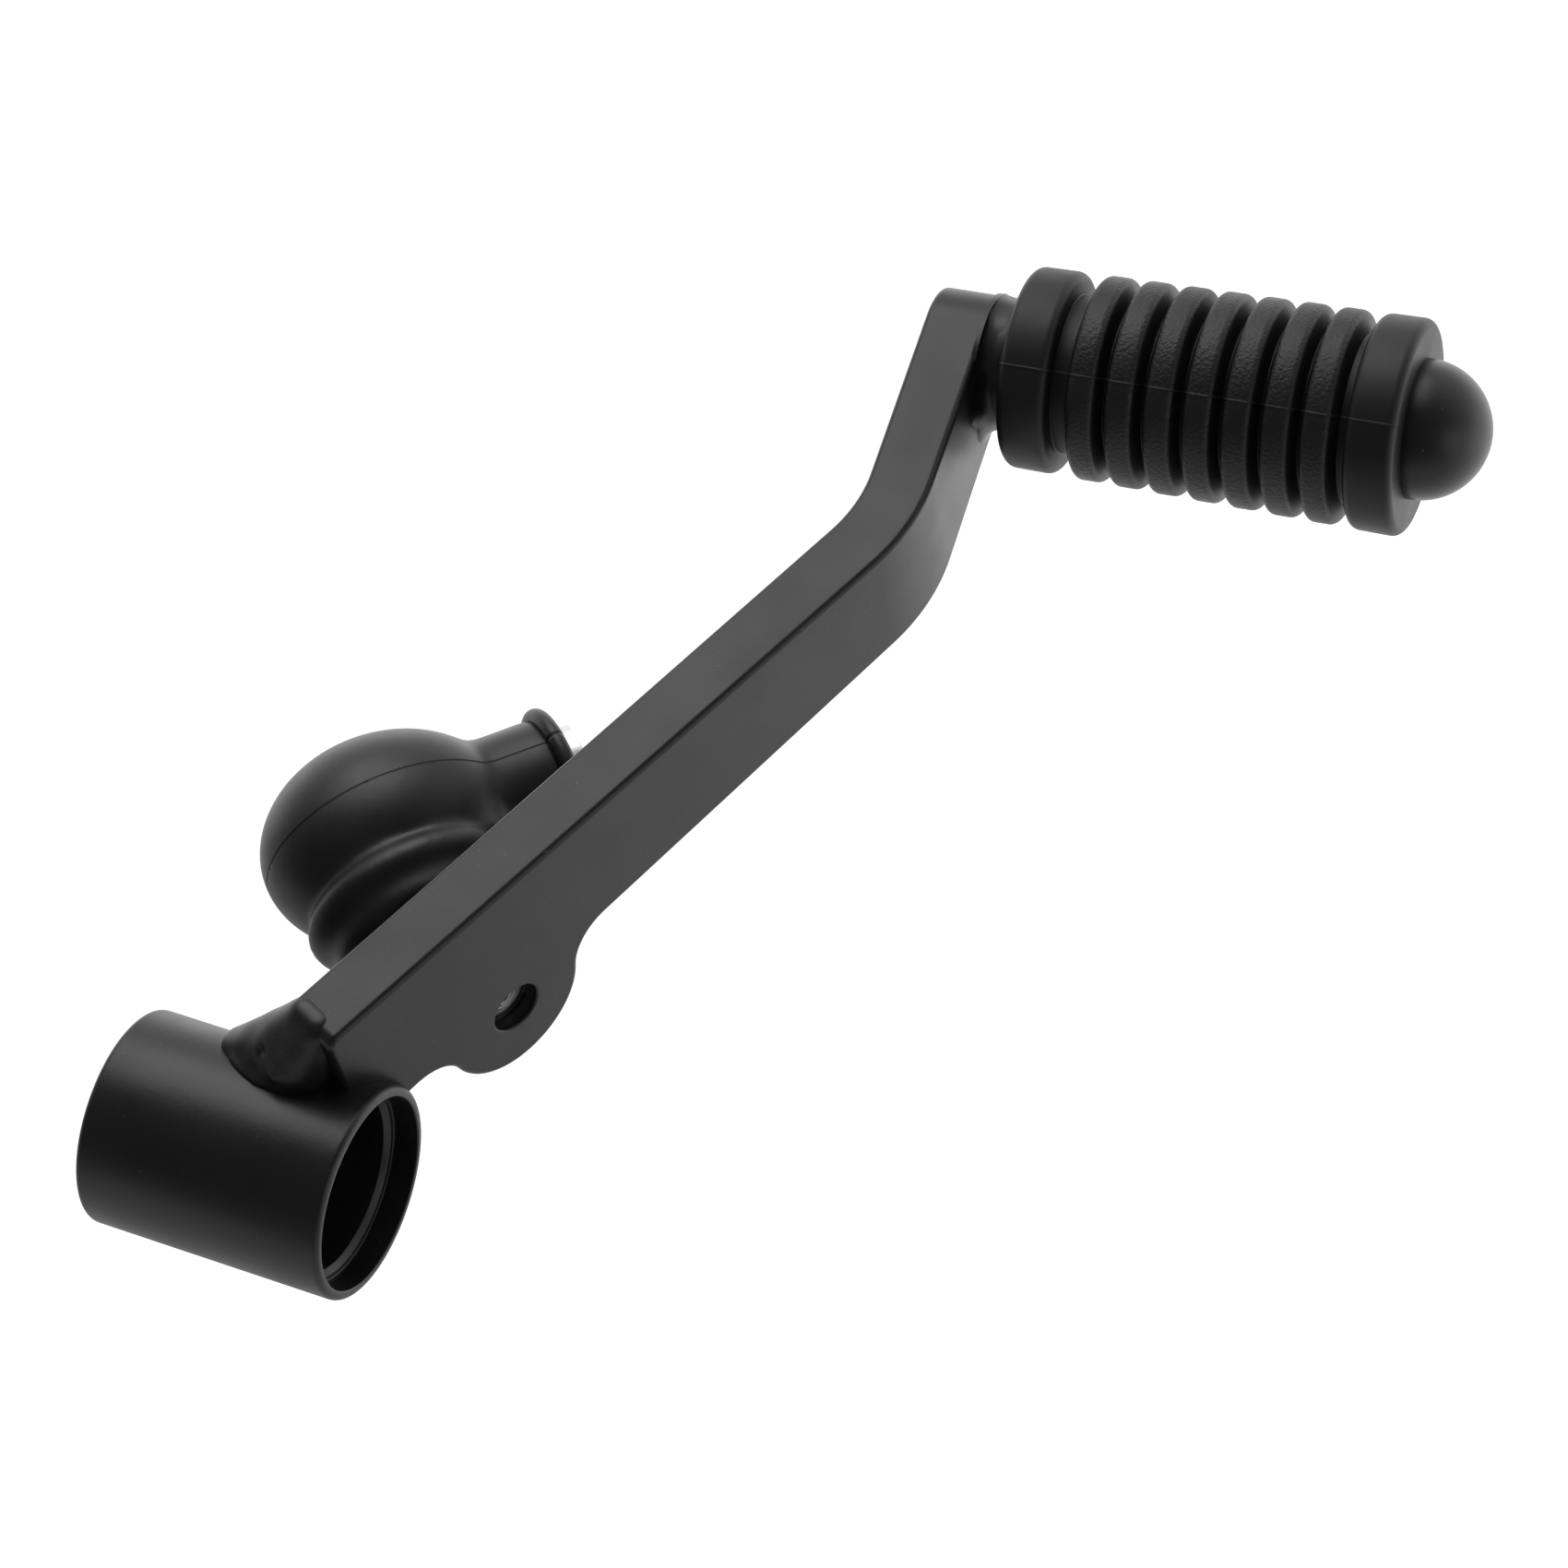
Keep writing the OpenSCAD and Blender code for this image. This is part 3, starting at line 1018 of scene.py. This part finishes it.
    def build_sleeve(self, finishes: Finishes) -> None:
        """Makes the ribbed rubber sleeve."""
        bm = revolve(self.sleeve_outline(), steps=144, closed=True)
        split = math.radians(self.split_angle + 90)
        parting_line(bm, Vector((math.cos(split), math.sin(split), 0)), self.flash_half, self.flash_rise)
        for face in bm.faces:
            middle = face.calc_center_median()
            deep = self.rubber_r(middle.z) - Vector(middle.xy).length
            on_flange = not self.collar_len + self.flange_w < middle.z < self.rubber_end - self.flange_w
            face.material_index = 1 if on_flange or deep > self.rib_round / 2 else 0
        Piece("toe_rubber_sleeve", bm, self.layout.peg(), [finishes.crown, finishes.groove],
              Slot.TOE_RUBBER, ["toe_rubber"]).on(Body.LEVER)

    def build(self, finishes: Finishes) -> None:
        """Makes all three pieces."""
        self.build_peg(finishes)
        self.build_weld(finishes)
        self.build_sleeve(finishes)


@dataclass
class BallJoint:
    """The ball stud, the socket and the rubber boot over them."""

    layout: Layout
    ball_r: float = 4.0
    stud_neck_r: float = 2.2
    stud_hex_af: float = 8.0
    stud_hex_len: float = 3.2
    stud_recess: float = 1.7
    stud_thread_r: float = 2.45
    stud_thread_depth: float = 0.35
    stud_pip_r: float = 0.5
    stud_ring_pitch: float = 0.22
    stud_ring_count: int = 7
    hex_chamfer: float = 0.25
    thread_pitch: float = 0.8
    head_r: float = 6.3
    head_low: float = -4.4
    head_high: float = 5.2
    mouth_r: float = 3.8
    shank_r: float = 5.0
    shank_start: float = 4.5
    shank_run: float = 24.8
    shank_chamfer: float = 0.9
    rod_thread_r: float = 2.5
    rod_thread_len: float = 12.0
    rod_thread_depth: float = 0.42
    rod_mouth: float = 0.7
    rod_tip: float = 1.2
    bulb_r: float = 10.0
    bulb_half: float = 12.3
    bulb_run: float = 5.0
    fold_run: float = 4.3
    fold_stretch: float = 1.2
    neck_r: float = 6.0
    neck_run: float = 22.6
    bead_r: float = 0.85
    lip_r: float = 5.2
    lip_low: float = -15.0
    lip_len: float = 1.8
    seam_half: float = 0.12
    seam_depth: float = 0.16
    blend_low: float = -12.2
    blend_high: float = -6.3
    voxel: float = 0.26
    smooth_passes: int = 40

    def build_stud(self, finishes: Finishes) -> None:
        """Makes the stud: its ball, neck, hexagon and threaded end."""
        end = -self.ball_run_to_end()
        plate = -self.layout.ball_run
        pitch = self.thread_pitch
        crest = self.stud_thread_r
        root = crest - self.stud_thread_depth
        pip = self.stud_pip_r
        turns = int((plate - end - 0.5) / pitch)
        outline: Outline = [(0, end + 0.2), (pip, end + 0.2)]
        for ring in range(self.stud_ring_count):
            outline.append((pip + ring * self.stud_ring_pitch, end + (0.1 if ring % 2 else 0.02)))
        outline += [(root, end), (crest - 0.1, end + 0.35)]
        for turn in range(turns):
            low = end + 0.4 + turn * pitch
            outline += [(crest, low + pitch * 0.15), (root, low + pitch * 0.6), (crest, low + pitch)]
        neck_top = -math.sqrt(self.ball_r**2 - self.stud_neck_r**2)
        start = math.degrees(math.atan2(neck_top, self.stud_neck_r))
        outline += [(self.stud_neck_r, plate), (self.stud_neck_r, neck_top)]
        outline += arc(0, 0, self.ball_r, start, 90, 24)[1:]
        hexagon = bmesh.new()
        r = self.stud_hex_af / math.sqrt(3)
        bmesh.ops.create_cone(
            hexagon, cap_ends=True, segments=6, radius1=r, radius2=r, depth=self.stud_hex_len,
            matrix=shifted(0, 0, plate + self.stud_hex_len / 2),
        )
        bmesh.ops.bevel(hexagon, geom=hexagon.edges[:], offset=self.hex_chamfer, segments=3, profile=0.5,
                        affect="EDGES", material=-1)
        stud = revolve(outline, steps=72)
        for face in stud.faces:
            face.material_index = int(face.calc_center_median().z < end + self.thread_pitch)
        bm = joined([stud, hexagon])
        Piece("ball_stud_plated", bm, self.layout.ball(), [finishes.zinc, finishes.turned], Slot.ZINC,
              ["ball_stud"], sharp_angle=30.0).on(Body.LEVER)

    def ball_run_to_end(self) -> float:
        """Distance from the ball's middle to the stud's threaded end."""
        return self.layout.ball_run + self.layout.plate_t - self.stud_recess

    def build_socket(self, finishes: Finishes) -> None:
        """Makes the socket's head and its drilled shank."""
        low = math.degrees(math.asin(self.head_low / self.head_r))
        high = math.degrees(math.asin(self.head_high / self.head_r))
        head = revolve(
            [(self.mouth_r, -1.0), (self.mouth_r, self.head_low)]
            + arc(0, 0, self.head_r, low, high, 24)
            + [(0, self.head_high), (0, self.ball_r), (self.mouth_r, 1.0)], closed=True,
        )
        pitch = self.thread_pitch
        start = self.shank_run - self.rod_thread_len
        bore: Outline = [(0, start - self.rod_tip), (self.rod_thread_r, start)]
        for turn in range(int(self.rod_thread_len / pitch) - 1):
            low_z = start + turn * pitch
            bore += [(self.rod_thread_r + self.rod_thread_depth, low_z + pitch * 0.5),
                     (self.rod_thread_r, low_z + pitch)]
        mouth = self.rod_thread_r + self.rod_mouth
        outline = rounded([
            (0, self.shank_start, 0), (self.shank_r, self.shank_start, 0),
            (self.shank_r, self.shank_run - self.shank_chamfer, 0.2),
            (self.shank_r - self.shank_chamfer, self.shank_run, 0.2), (mouth, self.shank_run, 0.1),
            (self.rod_thread_r, self.shank_run - self.rod_mouth, 0),
        ]) + list(reversed(bore))
        shank = moved(revolve(outline), turned("Y", 90))
        Piece("ball_socket_plated", joined([head, shank]), self.layout.socket(), [finishes.zinc], Slot.ZINC,
              ["ball_socket"]).on(Body.SOCKET)

    def boot_bulb(self) -> BMesh:
        """The boot's bulb and neck, turned about the shank, in the socket's frame."""
        meet = math.degrees(math.asin(self.neck_r / self.bulb_r))
        turn = arc(0, 0, 1, 180, meet, 48)
        bulb = [(self.bulb_r * y, self.bulb_run + self.bulb_half * x) for x, y in turn]
        end = self.neck_run
        neck = [(self.neck_r, end - self.bead_r), (0, end - self.bead_r)]
        return moved(revolve(bulb + neck), turned("Y", 90))

    def boot_bead(self) -> BMesh:
        """The round bead at the neck's end, in the socket's frame."""
        ring = arc(self.neck_r, self.neck_run - self.bead_r, self.bead_r, 0, 360, 20)[:-1]
        return moved(revolve(ring, closed=True), turned("Y", 90))

    def boot_folds(self) -> BMesh:
        """The boot's folds, turned about the socket's axis and stretched along the shank."""
        outline = rounded([
            (0, -2, 0), (6.8, -2, 1), (7.0, -5.0, 1), (9.1, -7.1, 1.4), (8.8, -8.4, 1.4),
            (7.5, -9.8, 1.3), (7.7, -11.2, 1.0), (6.8, -12, 0.5), (0, -12, 0),
        ])
        stretch = Matrix.Scale(self.fold_stretch, 4, Vector((1, 0, 0)))
        return moved(revolve(outline), shifted(self.fold_run, 0, 0) @ stretch)

    def boot_lip(self) -> BMesh:
        """The boot's lip round the stud, in the socket's frame."""
        top = self.lip_low + self.lip_len
        outline = rounded([
            (0, -8, 0), (7.2, -8, 1), (6.4, top + 1.0, 0.8), (self.lip_r - 0.5, top + 0.1, 0.4),
            (self.lip_r, top - 0.3, 0.4), (self.lip_r, self.lip_low, 0.5), (0, self.lip_low, 0),
        ])
        into_socket = self.layout.socket().inverted() @ self.layout.ball()
        return moved(revolve(outline), into_socket)

    def build_boot(self, finishes: Finishes) -> None:
        """Makes the boot."""
        skin = fused([self.boot_bulb(), self.boot_folds(), self.boot_lip()], self.voxel, self.smooth_passes)
        bm = joined([skin, self.boot_bead()])
        parting_line(bm, Vector((0, 0, 1)), self.seam_half, -self.seam_depth)
        boot = Piece("joint_boot_rubber", bm, self.layout.socket(), [finishes.boot], Slot.BOOT_RUBBER,
                     ["joint_boot"], sharp_angle=180.0).make()
        frame = Matrix.Scale(MM, 4) @ self.layout.socket()
        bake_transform(boot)

    def dress_clip(self, finishes: Finishes, frame: dict) -> None:
        """Plates the wire clip, which stays as the solid has it."""
        clip = frame["nodes"]["safety_clip"]
        clip.data.materials.clear()
        clip.data.materials.append(finishes.zinc)

    def build(self, finishes: Finishes, frame: dict) -> None:
        """Makes the whole joint."""
        self.build_stud(finishes)
        self.build_socket(finishes)
        self.build_boot(finishes)
        self.dress_clip(finishes, frame)


@dataclass(frozen=True)
class Lamp:
    """A square soft lamp that shines on the middle of the lever."""

    name: str
    way: tuple[float, float, float]
    size: float
    power: float
    distance: float = 0.9

    def add(self, aim: Callable[[Vector, Vector, Vector], Matrix]) -> None:
        """Makes the lamp.

        Args:
            aim: Gives the matrix for a place, a viewing direction and an upward one.
        """
        data = bpy.data.lights.new(self.name, "AREA")
        data.shape = "SQUARE"
        data.size = self.size
        data.energy = self.power
        lamp = bpy.data.objects.new(self.name, data)
        low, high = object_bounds()
        way = Vector(self.way).normalized()
        lamp.matrix_world = aim((low + high) / 2 + way * self.distance, -way, Vector((0, 1, 0.2)))
        bpy.context.scene.collection.objects.link(lamp)


@dataclass
class Studio:
    """The camera, the lamps, the floor and the pale surroundings."""

    camera_at: tuple[float, float, float] = (-232.4, -241.6, 521.0)
    camera_look: tuple[float, float, float] = (0.4507, 0.3364, -0.8269)
    camera_up: tuple[float, float, float] = (0.7952, 0.2695, 0.5431)
    camera_lens: float = 158.8
    sensor: float = 36.0
    lamps: tuple[Lamp, ...] = (
        Lamp("key", (0.5, 0.35, 0.8), size=0.7, power=3.6),
        Lamp("side", (-0.2, -0.95, 0.25), size=0.5, power=0.6),
    )
    floor_drop: float = 90.0
    floor_size: float = 6000.0
    floor_grey: float = 0.82
    floor_white: float = 0.62
    # Glow that only reflections see on the floor, dim under the pivot tube and bright under the toe: a
    # painted reflection with painted shade near the tube.
    floor_painted_reflection: tuple[float, float] = (0.16, 1.15)
    floor_painted_reflection_run: tuple[float, float] = (0.01, 0.17)
    sky_way: tuple[float, float, float] = (0.75, 0.1, -0.65)
    sky_range: tuple[float, float] = (-0.5, 0.35)
    sky_shine: tuple[float, float] = (0.12, 0.9)
    sky_light: float = 0.3

    def aim(self, place: Vector, look: Vector, up: Vector) -> Matrix:
        """The matrix of a camera or lamp that looks along a direction."""
        back = -look.normalized()
        side = up.cross(back).normalized()
        rise = back.cross(side)
        turn = Matrix((side, rise, back)).transposed().to_4x4()
        return Matrix.Translation(place) @ turn

    def add_camera(self) -> None:
        """Makes the camera at the photograph's viewing angle."""
        data = bpy.data.cameras.new("camera")
        data.lens = self.camera_lens
        data.sensor_width = self.sensor
        data.clip_start = 0.01
        data.clip_end = 50.0
        camera = bpy.data.objects.new("camera", data)
        camera.matrix_world = self.aim(
            Vector(self.camera_at) * MM, Vector(self.camera_look), Vector(self.camera_up))
        bpy.context.scene.collection.objects.link(camera)
        bpy.context.scene.camera = camera

    def add_floor(self) -> None:
        """Makes the pale floor, which keeps the lever's shadow and glows to glossy rays only as a painted
        reflection.
        """
        bm = bmesh.new()
        bmesh.ops.create_grid(bm, x_segments=1, y_segments=1, size=self.floor_size / 2 * MM)
        low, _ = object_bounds()
        bmesh.ops.translate(bm, vec=(0, 0, low.z - self.floor_drop * MM), verts=bm.verts)
        data = bpy.data.meshes.new("floor")
        bm.to_mesh(data)
        bm.free()
        g = Graph(bpy.data.materials.new("pale_floor"))
        path = g.add("LightPath").outputs
        along = g.add("SeparateXYZ", Vector=g.place()).outputs["X"]
        # Painted reflection: the floor glows to glossy rays only, dim under the pivot tube and bright under
        # the toe.
        shine = g.spread(along, *self.floor_painted_reflection_run, *self.floor_painted_reflection)
        mirrored = g.in_order("Math", {"operation": "MULTIPLY"}, path["Is Glossy Ray"], shine)
        level = g.in_order(
            "Math", {"operation": "MULTIPLY_ADD"}, path["Is Camera Ray"], self.floor_white, mirrored)
        plain = g.add("BsdfDiffuse", Color=(*[self.floor_grey] * 3, 1)).outputs[0]
        glow = g.add("Emission", Color=(1, 1, 1, 1), Strength=level).outputs[0]
        lit = g.in_order("AddShader", {}, plain, glow)
        from_below = g.add("NewGeometry").outputs["Backfacing"]
        data.materials.append(g.close(
            g.in_order("MixShader", {}, from_below, lit, g.add("BsdfTransparent").outputs[0])))
        floor = bpy.data.objects.new("floor", data)
        bpy.context.scene.collection.objects.link(floor)
        floor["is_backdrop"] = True

    def set_world(self) -> None:
        """Makes the surroundings white to the camera and dim as a light."""
        g = Graph(bpy.data.worlds.new("surroundings"))
        path = g.add("LightPath").outputs
        tilt = g.add("VectorMath", {"operation": "DOT_PRODUCT"})
        g.put(g.add("TexCoord").outputs["Generated"], tilt.inputs[0])
        g.put(Vector(self.sky_way).normalized(), tilt.inputs[1])
        shine = g.spread(tilt.outputs["Value"], *self.sky_range, *self.sky_shine)
        gloss = g.add("Mix", Factor=path["Is Glossy Ray"], A=self.sky_light, B=shine)
        clear = g.in_order(
            "Math", {"operation": "MAXIMUM"}, path["Is Camera Ray"], path["Is Transmission Ray"])
        level = g.add("Mix", Factor=clear, A=gloss.outputs["Result"], B=1.0)
        back = g.add("Background", Color=(1, 1, 1, 1), Strength=level.outputs["Result"])
        bpy.context.scene.world = g.close(back.outputs[0], "OutputWorld")

    def build(self) -> None:
        """Sets the whole studio up."""
        self.add_camera()
        self.set_world()
        for lamp in self.lamps:
            lamp.add(self.aim)
        self.add_floor()
        bpy.context.scene.view_settings.view_transform = "Standard"


def main() -> tuple[Vector, Vector]:
    """Builds the lever and its studio.

    Returns:
        The box of the solids before they were dressed.
    """
    logging.basicConfig(level=logging.INFO, format="%(name)s: %(message)s")
    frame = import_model()
    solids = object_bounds()
    Studio().build()
    layout = Layout()
    finishes = Finishes()
    PivotTube().build(finishes)
    ArmPlate(layout).build(finishes)
    TubeWeld(layout).build(finishes)
    ToePiece(layout).build(finishes)
    BallJoint(layout).build(finishes, frame)
    return solids


if __name__ == "__main__":
    main()
